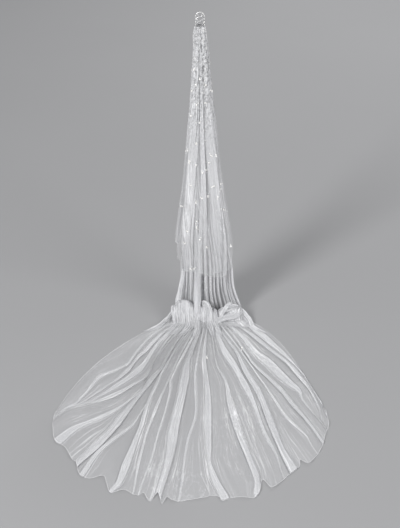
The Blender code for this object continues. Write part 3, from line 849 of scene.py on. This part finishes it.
def fold_line(near, places, t):
    """Bearing and width of a fold at each share of the way, from where it passes in the photograph."""
    stations = [(0.0, near, 1.0)]
    for photo_x, photo_y, width in places:
        bearing, reach = on_floor(photo_x, photo_y)
        first = foot_reach(near)
        share = (reach - first) / (float(curve(TRAIN_HEM, 1, bearing)) - first)
        if share > stations[-1][0] + 0.02:
            stations.append((share, bearing, width * (1 + 0.4 * abs(bearing) / 38)))
    if stations[-1][0] < 1:
        before, last = stations[-2:]
        run = (1 - last[0]) / (last[0] - before[0])
        stations.append((1.0, last[1] + 0.5 * run * (last[1] - before[1]), last[2]))
    return curve(stations, 1, t), PHOTO_SCALE * curve(stations, 2, t)


def unit(vectors):
    return vectors / np.linalg.norm(vectors, axis=-1, keepdims=True)


def fold_profile(wide, rise, side):
    """Across and up, row by row, of a fold pressed flat, so that three layers lie on each other."""
    half, rise = wide[:, None] / 2, rise[:, None]
    run = np.linspace(0, 1, 5)[None, :]
    turn = np.linspace(-90, 90, 6)[None, 1:-1] * np.pi / 180
    slope = np.linspace(0, 1, 5)[None, 1:]
    parts = (
        (lerp(-half - 4 * rise, half - 2 * rise, run), 0 * run * rise),
        (half - 2 * rise + rise * np.cos(turn), rise + rise * np.sin(turn)),
        (lerp(half - 2 * rise, -half - 2 * rise, run), 2 * rise + 0 * run),
        (-half - 2 * rise - rise * np.cos(turn), 3 * rise + rise * np.sin(turn)),
        (lerp(-half - 2 * rise, half, run), 4 * rise + 0 * run),
        (half + 4 * rise * slope, 4 * rise * (1 - ease(slope))),
    )
    across = np.concatenate([p[0] for p in parts], 1)
    up = np.concatenate([p[1] for p in parts], 1)
    return (across, up) if side > 0 else (-across[:, ::-1], up[:, ::-1])


def kept_apart(bearings, firm):
    """Neighbouring folds moved apart where they would cross, the less firm one more."""
    for _ in range(40):
        for k in range(len(bearings) - 1):
            lack = np.maximum(0, FOLD_SPACING - (bearings[k + 1] - bearings[k]))
            share = firm[k + 1] / (firm[k] + firm[k + 1])
            bearings[k] -= lack * share
            bearings[k + 1] += lack * (1 - share)
    return bearings


def train_points(rows=100, panel_step=0.0075):
    """The train's points, and which of its columns lie folded in layers."""
    t = np.linspace(0, 1, rows)
    folds = [fold_line(near, places, t) for _, near, places in FAN_FOLDS]
    bearings = [through(*FAN_EDGES[0], t), *(bearing for bearing, _ in folds), through(*FAN_EDGES[1], t)]
    firm = [np.full(rows, 1e3), *(width for _, width in folds), np.full(rows, 1e3)]
    bearings = kept_apart(np.array(bearings), np.array(firm))
    places = [fan_line(line, t) for line in bearings]
    puff = PUFF * ease(t / PUFF_FROM)
    columns, kinds = [], []

    def add(plan, up, kind):
        columns.append(np.concatenate([plan, up[..., None]], -1))
        kinds.extend([kind] * plan.shape[1])

    def add_panel(start, end):
        width = np.linalg.norm(end - start, axis=1)
        count = int(np.clip(width[-1] / panel_step, 5, 48))
        s = (np.arange(count) + 0.5) / count
        plan = start[:, None] + (end - start)[:, None] * s[None, :, None]
        lift = puff * np.minimum(1.0, width / PUFF_PANEL)
        add(plan, lift[:, None] * np.sin(np.pi * s)[None, :] ** 1.5, 1.0)

    before = places[0]
    add(before[:, None], np.zeros((rows, 1)), 0.0)
    for k, (side, _, _) in enumerate(FAN_FOLDS, start=1):
        gap_left = np.linalg.norm(places[k] - places[k - 1], axis=1)
        gap_right = np.linalg.norm(places[k + 1] - places[k], axis=1)
        pitch = np.linalg.norm(places[k + 1] - places[k - 1], axis=1) / 2
        room = np.minimum(pitch, np.minimum(gap_left, gap_right))
        rise = np.minimum(np.minimum(FOLD_RISE, FOLD_RISE_SHARE * room), 0.08 * folds[k - 1][1])
        uneven = 1 + 0.16 * wander(30 + k, (rows, 2), (6, 1))[:, 0]
        wide = folds[k - 1][1] * uneven
        wide = np.maximum(np.minimum(wide, FOLD_ROOM * room - 8 * rise), rise)
        across = unit(places[k + 1] - places[k - 1])
        x, z = fold_profile(wide, rise, side)
        plan = places[k][:, None] + across[:, None] * x[..., None]
        add_panel(before, plan[:, 0])
        add(plan, z, 0.0)
        before = plan[:, -1]
    add_panel(before, places[-1])
    add(places[-1][:, None], np.zeros((rows, 1)), 0.0)
    points = np.concatenate(columns, 1)
    kind = np.array(kinds)[None, :]
    shape = points.shape[:2]
    away = points[..., :2] - FAN_MIDDLE
    reach = np.linalg.norm(away, axis=2)
    bearing = np.degrees(np.arctan2(away[-1, :, 0], -away[-1, :, 1]))
    hem_gap = curve(TRAIN_HEM, 1, np.clip(bearing, TRAIN_HEM[0][0], TRAIN_HEM[-1][0])) - reach[-1]
    moved = reach + hem_gap[None, :] * ease((t - 0.72) / 0.28)[:, None]
    points[..., :2] = FAN_MIDDLE + away * (moved / reach)[..., None]
    soft = kind * np.minimum(1, t / 0.15)[:, None]
    waves = 0.0034 * wander(21, shape, (9, 34)) + 0.0022 * wander(22, shape, (14, 90))
    lines_up = 0.0024 * np.abs(wander(23, shape, (5, shape[1] // 4)))
    points[..., 2] += soft * np.maximum(waves + lines_up, -points[..., 2])
    points[..., 2] += FLOOR + 0.0009
    away = points[..., :2] - FAN_MIDDLE
    side = (bearing - bearing[0]) / (bearing[-1] - bearing[0])
    inside = np.minimum(1, 6 * np.minimum(side, 1 - side))[None, :] * (np.sin(np.pi * t) ** 0.8)[:, None]
    across = wander(24, (rows, 200), (7, 11))
    swing = np.stack([np.interp(side, np.linspace(0, 1, 200), row) for row in across])
    turn = np.radians(FAN_SWING) * swing * inside
    cosine, sine = np.cos(turn), np.sin(turn)
    x = away[..., 0] * cosine - away[..., 1] * sine
    y = away[..., 0] * sine + away[..., 1] * cosine
    points[..., 0], points[..., 1] = FAN_X + x, FALL_Y + y
    return points, 1 - kind


# The pool and the band in front of it


def pool_points(rows=52, per_pleat=10):
    """The gathered mass: up from the fall's foot, over, down its front and out over the train."""
    columns = POOL_PLEATS * per_pleat
    u = np.linspace(0, 1, columns)[None, :]
    s = np.linspace(0, 1.42, rows)[:, None]
    shape = (rows, columns)
    left, right = POOL_SECTIONS[0][0], POOL_SECTIONS[-1][0]
    x = lerp(left, right, u) + 0 * s
    height, reach = (curve(POOL_SECTIONS, c, x) for c in (1, 2))
    turn = np.pi * np.minimum(s, 1) * 0.97
    apron = np.maximum(s - 1, 0) / 0.42
    phase = POOL_PLEATS * u + 1.1 * wander(51, shape, (5, 14)) + 0.6 * np.sin(3 * x / right) * s
    wave = 0.5 - 0.5 * np.cos(2 * np.pi * phase)
    rough = 0.7 + 0.5 * wander(52, shape, (5, 18))
    ridge = POOL_PLEAT_DEPTH * (wave - 1) * rough * np.minimum(1, 0.3 + height / 0.06) * (1 - 0.5 * apron)
    lean = (right - left) / POOL_PLEATS * 0.9 * np.tanh((u - 0.45) / 0.1) * (wave - 0.5)
    bulge = (0.008 * wander(53, shape, (4, 9)) + 0.0042 * wander(54, shape, (11, 44))) * np.sin(turn)
    forward = reach * (0.5 - 0.5 * np.cos(turn)) + (ridge + bulge) * -np.cos(turn) + POOL_APRON * apron
    up = (height + ridge + bulge) * np.sin(turn) ** 0.8
    up = np.maximum(up, 0.003) + (0.004 + 0.005 * wave) * np.minimum(1, apron * 4) * (1 - 0.7 * apron)
    x = x + lean + (x - 0.02) * 0.28 * apron**1.2
    y = FALL_Y - POOL_BACK - SEAM - forward
    return np.stack([x, y, FLOOR + 0.002 + up], -1)


def smooth_path(points, count):
    """Points spaced along the smooth curve through the given ones."""
    points = np.array(points, float)
    at = np.concatenate([[0], np.cumsum(np.linalg.norm(np.diff(points, axis=0), axis=1))])
    table = np.column_stack([at, points])
    steps = np.linspace(0, at[-1], count)
    return np.stack([curve(table, c, steps) for c in (1, 2, 3)], -1)


def with_tail(path):
    """A path that ends on the floor runs on over the train, straight away from the fall."""
    x, y, z = path[-1]
    if z > 0.02:
        return path
    away = np.array([x - FAN_X, y - FALL_Y])
    away = ROPE_TAIL * away / np.linalg.norm(away)
    return (*path, (x + away[0], y + away[1], 0.003))


def rope_points(seed, radius, pleats, twist, path, rows=56, per_pleat=9):
    """A bundle of folds round a path, open underneath, that thins and flattens towards its ends."""
    radius, path = radius / 1000, np.array(path) / 1000
    middle = smooth_path([(x, y, FLOOR + z) for x, y, z in with_tail(path)], rows)
    along = unit(np.gradient(middle, axis=0))
    side = unit(np.cross(along, [0.0, 0.0, 1.0]) + 1e-9)
    over = np.cross(side, along)
    columns = pleats * per_pleat
    u = np.linspace(0, 1, columns)[None, :]
    t = np.linspace(0, 1, rows)[:, None]
    shape = (rows, columns)
    phase = pleats * u + 0.35 * wander(seed, shape, (5, 5)) + twist * pleats * (t - 0.5)
    wave = 0.5 - 0.5 * np.cos(2 * np.pi * phase)
    turn = (2 * u - 1) * (np.pi - ROPE_OPENING / 2)
    turn = turn + np.tanh((u - 0.5) / 0.15) * (wave - 0.5) * 1.6 / pleats
    ends = (1 - 0.45 * np.abs(2 * t - 1) ** 3) * (1 - 0.45 * ease((t - 0.6) / 0.4))
    crumple = 0.09 * wander(seed + 1, shape, (16, 9)) + 0.05 * wander(seed + 1, shape, (26, 16))
    size = radius * ends * (1 + 0.12 * wander(seed + 1, shape, (5, 3)) + crumple * np.sin(np.pi * t))
    out = size * (1 - 0.40 * (1 - wave) ** 1.5)
    sideways = (out * np.sin(turn))[..., None] * side[:, None]
    upwards = (out * np.cos(turn) * (0.85 - 0.25 * t**4))[..., None] * over[:, None]
    points = middle[:, None] + sideways + upwards
    points[..., 2] = np.maximum(points[..., 2], FLOOR + 0.0015)
    return points


def strand_points(rows=60, pleats=6, per_pleat=12):
    columns = pleats * per_pleat
    at = np.linspace(-STRAND_BEHIND, STRAND_SECTIONS[-1][0], rows)
    drop = curve(STRAND_SECTIONS, 1, at) + np.minimum(at, 0)
    forward = curve(STRAND_SECTIONS, 2, at) + np.minimum(at, 0) * 0.06
    half_width = curve(STRAND_SECTIONS, 3, at) * (1 + 0.5 * np.minimum(at, 0))
    place = np.stack([np.full(rows, STRAND_X), FALL_Y - forward, -drop], -1)
    along = unit(np.gradient(place, axis=0))
    out = np.cross(along, [1.0, 0.0, 0.0])
    u = np.linspace(0, 1, columns)[None, :]
    phase = pleats * u + 0.25 * wander(41, (rows, columns), (5, 6))
    wave = 0.5 - 0.5 * np.cos(2 * np.pi * phase)
    wave = wave + 0.12 * np.sin(2 * np.pi * (3.7 * phase))
    pitch = 2 * half_width[:, None] / pleats
    lean = pitch * 0.85 * np.tanh((u - 0.5) / 0.2)
    across = half_width[:, None] * (2 * u - 1) * 0.92 + lean * (wave - 0.5)
    raised = STRAND_DEPTH * (2 * wave - 1) * 0.85
    points = place[:, None] + across[..., None] * [1.0, 0.0, 0.0] + raised[..., None] * out[:, None]
    return points


# Beads


def along_view(photo_x, photo_y):
    """Where the camera stands, and the way it looks through a place in the photograph."""
    up = Vector((0, math.sin(CAMERA_ELEVATION), math.cos(CAMERA_ELEVATION)))
    focal = CAMERA_LENS / CAMERA_SENSOR * PHOTO_HEIGHT
    across = (photo_x - PHOTO_WIDTH / 2) / focal
    down = (photo_y - PHOTO_HEIGHT / 2) / focal
    return CAMERA_PLACE, (Vector((across, 0, 0)) - up * down - CAMERA_BACK).normalized()


def tree_of(*objects):
    vertices, faces = [], []
    for item in objects:
        start = len(vertices)
        vertices.extend(v.co.copy() for v in item.data.vertices)
        faces.extend([i + start for i in p.vertices] for p in item.data.polygons)
    return BVHTree.FromPolygons(vertices, faces)


def bead_places(tree):
    """The beads on the cloth as (place, radius, kind), where kind 0 is a pearl and 1 a crystal."""
    rng = np.random.default_rng(7)
    found = []

    def put(start, direction, radius, kind):
        hit, _, _, _ = tree.ray_cast(start, direction)
        if hit is not None:
            found.append((hit - direction * radius * 0.6, radius, kind))

    for photo_x, photo_y, beads in CLUSTERS:
        for number in range(beads):
            ring = 0.0 if number == 0 else rng.uniform(*CLUSTER_RING)
            turn = rng.uniform(0, 2 * math.pi)
            beside, below = ring * math.cos(turn), 1.3 * ring * math.sin(turn)
            start, direction = along_view(photo_x + beside, photo_y + below)
            radius = CLUSTER_BEAD if number == 0 else rng.uniform(*CLUSTER_SMALL)
            put(start, direction, radius, number % 2)
    # Sprays in rows down the upper cloth, thickest near the comb, on the front, the sides and the back
    for angle in np.radians(np.arange(0, 360, 24)):
        drop = rng.uniform(0.008, 0.02)
        swing = rng.uniform(0, 6)
        while drop < SPRAY_DOWN_TO:
            turn = angle + 0.22 * math.sin(swing + drop * 26)
            outward = Vector((math.sin(turn), -math.cos(turn), 0.0))
            start = Vector((0.012, FALL_Y, -drop)) + outward * 0.4
            put(start, -outward, rng.uniform(*SPRAY_BEAD), int(rng.integers(2)))
            drop += rng.uniform(0.006, 0.012) * (1 + (drop / 0.22) ** 2.2)
    return found


def make_beads(name, beads, pearl, crystal):
    """Two pieces of a list of beads: its round pearls and its cut crystals."""
    kinds = (("pearls", ball(2), pearl), ("crystals", ball(1), crystal))
    for number, (word, (points, faces), look) in enumerate(kinds):
        own = [(place, radius) for place, radius, kind in beads if kind == number]
        parts = [(points * radius + np.array(place), faces) for place, radius in own]
        yield joined(f"{name}_{word}", parts, look, smooth=number == 0)


def arch_path(count):
    half = ARCH_WIDTH / 2
    straight = ARCH_HEIGHT - half
    length = 2 * straight + math.pi * half
    for i in range(count):
        at = length * (i + 0.5) / count
        if at < straight:
            yield Vector((-half, FALL_Y, at))
        elif at > length - straight:
            yield Vector((half, FALL_Y, length - at))
        else:
            turn = math.pi - (at - straight) / half
            yield Vector((half * math.cos(turn), FALL_Y, straight + half * math.sin(turn)))


def arch_bead_places():
    """Pearls strung along the arch with crystals round them, and sprays on its vines."""
    rng = np.random.default_rng(11)
    beads = []
    for number, place in enumerate(arch_path(ARCH_PEARLS)):
        beads.append((place, ARCH_PEARL if number % 3 else ARCH_PEARL_LARGE, 0))
        for _ in range(2):
            turn = rng.uniform(0, 2 * math.pi)
            shift = (0.002 * math.cos(turn), 0.003 * math.sin(turn), rng.uniform(-0.001, 0.001))
            beads.append((place + Vector(shift), ARCH_CRYSTAL, 1))
    for side in (1, -1):
        for step in range(VINE_BEADS):
            t = (step + 0.5) / VINE_BEADS
            x = side * ARCH_WIDTH / 2 * math.cos(2 * math.pi * VINE_TURNS * t) * (1 - 0.35 * t)
            place = (x, FALL_Y - side * VINE_Y, lerp(0.010, ARCH_HEIGHT - 0.012, t))
            beads.append((place, VINE_PEARL, 0) if step % 3 == 1 else (place, VINE_CRYSTAL, 1))
    return beads


# The stage


def add_lamp(name, place, target, size, power):
    light = bpy.data.lights.new(name, "AREA")
    light.shape = "DISK"
    light.size = size
    light.energy = power
    lamp = bpy.data.objects.new(name, light)
    lamp.location = place
    lamp.rotation_euler = (Vector(target) - Vector(place)).to_track_quat("-Z", "Y").to_euler()
    bpy.context.scene.collection.objects.link(lamp)


def add_stage():
    scene = bpy.context.scene
    camera = bpy.data.cameras.new("camera")
    camera.lens = CAMERA_LENS
    camera.sensor_width = CAMERA_SENSOR
    camera.clip_end = 100
    stand = bpy.data.objects.new("camera", camera)
    stand.location = CAMERA_PLACE
    stand.rotation_euler = (math.pi / 2 - CAMERA_ELEVATION, 0, 0)
    scene.collection.objects.link(stand)
    scene.camera = stand

    shape = bmesh.new()
    bmesh.ops.create_circle(shape, cap_ends=True, segments=96, radius=FLOOR_RADIUS)
    mesh = bpy.data.meshes.new("studio_floor")
    shape.to_mesh(mesh)
    shape.free()
    floor = add_object("studio_floor", mesh, floor_material(), False)
    floor.location = (0, 0, FLOOR - 0.0002)
    floor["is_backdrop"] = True

    world = bpy.data.worlds.new("studio")
    world.use_nodes = True
    sky = world.node_tree.nodes["Background"].inputs
    sky["Color"].default_value, sky["Strength"].default_value = SKY_COLOUR, SKY_STRENGTH
    scene.world = world
    for lamp in LAMPS:
        add_lamp(*lamp)
    scene.view_settings.view_transform = "Standard"
    scene.cycles.transparent_max_bounces = 96


def dress(piece, slot, *nodes):
    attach(piece, "root")
    if nodes:
        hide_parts(*nodes)


def net_sheet(name, points, cover, net, cut_length, *nodes, lace=0.0):
    """A sheet of net on the veil, in place of the solids that it stands for."""
    sheet = grid_sheet(name, points, cover, net, cut_length, lace)
    dress(sheet, "silk_net", *nodes)
    return sheet


def hem_path(points):
    """Down a sheet's left edge, along its hem and up its right edge."""
    return points[:, 0].tolist() + points[-1].tolist() + points[::-1, -1].tolist()


def tier_cover(tier, at_side):
    """The upper tier's cover, thinner in one layer at the sides and in front towards the hem."""
    share = np.abs(np.linspace(-1, 1, tier.shape[1]))[None, :]
    near_hem = ease((np.linspace(0, 1, len(tier))[:, None] - 0.72) / 0.28)
    in_front = 1 - ease((share - 0.25) / 0.2)
    cover = sheet_cover(tier, TIER_WIDTH, closeness=lerp(TIER_LAYERS, TIER_SIDE_LAYERS, at_side))
    return cover * (1 - TIER_HEM_THINNER * near_hem * in_front)


def make_ropes(net):
    """The ropes of folds on the pool, each with the size of its shell."""
    for number, (name, radius, pleats, twist, path) in enumerate(ROPES):
        points = rope_points(60 + 2 * number, radius, pleats, twist, path)
        width = round(float(lengths_across(points).sum(1).mean()), 2)
        length = round(float(np.linalg.norm(np.diff(points, axis=0), axis=2).sum(0).mean()), 2)
        cover = sheet_cover(points, ROPE_GATHER * width)
        fade_out(cover, 16)
        yield net_sheet(name, points, cover, net, length), width, length


def main():
    net, hem = net_material(), hem_material()
    pearl, crystal, silver = pearl_material(), crystal_material(), silver_material()
    add_stage()

    fall = fall_points()
    cover = sheet_cover(fall, NET_WIDTH, closeness=FALL_LAYERS)
    fall_sheet = net_sheet("fall_cloth", fall, cover, net, FALL_HEIGHT, "long_tier_fall", lace=lace_of(fall))
    tier, at_side = tier_points()
    cover = tier_cover(tier, at_side)
    tier_sheet = net_sheet("tier_cloth", tier, cover, net, TIER_LENGTH, "upper_tier", lace=lace_of(tier))
    train, folded = train_points()
    cover = sheet_cover(train, TRAIN_GATHER, most=FOLD_LAYERS, closeness=lerp(1.0, FOLD_LAYERS, folded))
    train_sheet = net_sheet("train_cloth", train, cover, net, TRAIN_LENGTH, "train")
    strand = strand_points()
    cover = sheet_cover(strand, STRAND_WIDTH, closeness=STRAND_LAYERS)
    fade_out(cover, 8)
    strand_sheet = net_sheet("strand_cloth", strand, cover, net, STRAND_LENGTH, "front_strand")
    pool = pool_points()
    cover = sheet_cover(pool, POOL_GATHER, closeness=POOL_LAYERS)
    fade_out(cover, 14, 0.7)
    pool_sheet = net_sheet("pool_cloth", pool, cover, net, POOL_LENGTH, *POOL_NODES)
    ropes = list(make_ropes(net))

    train_hem = joined("train_hem", [tube(hem_path(train), HEM_ROLL)], hem)
    tier_hem = joined("tier_hem", [tube(hem_path(tier), TIER_HEM_ROLL)], hem)
    fall_hem = joined("fall_hem", [tube(fall[:, column], HEM_ROLL) for column in (0, -1)], hem)
    for piece in (train_hem, tier_hem, fall_hem):
        dress(piece, "silk_net")

    cloth_beads = bead_places(tree_of(tier_sheet, fall_sheet, train_sheet))
    for name, beads in (("cloth", cloth_beads), ("arch", arch_bead_places())):
        for piece in make_beads(name, beads, pearl, crystal):
            dress(piece, "pearl")
    for name in ("comb", "arch", "vine_front", "vine_back"):
        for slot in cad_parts[name].material_slots:
            slot.material = silver


main()

boxes = {"cad": CAD_BOX, "visual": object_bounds()}
{name: [list(corner) for corner in box] for name, box in boxes.items()}
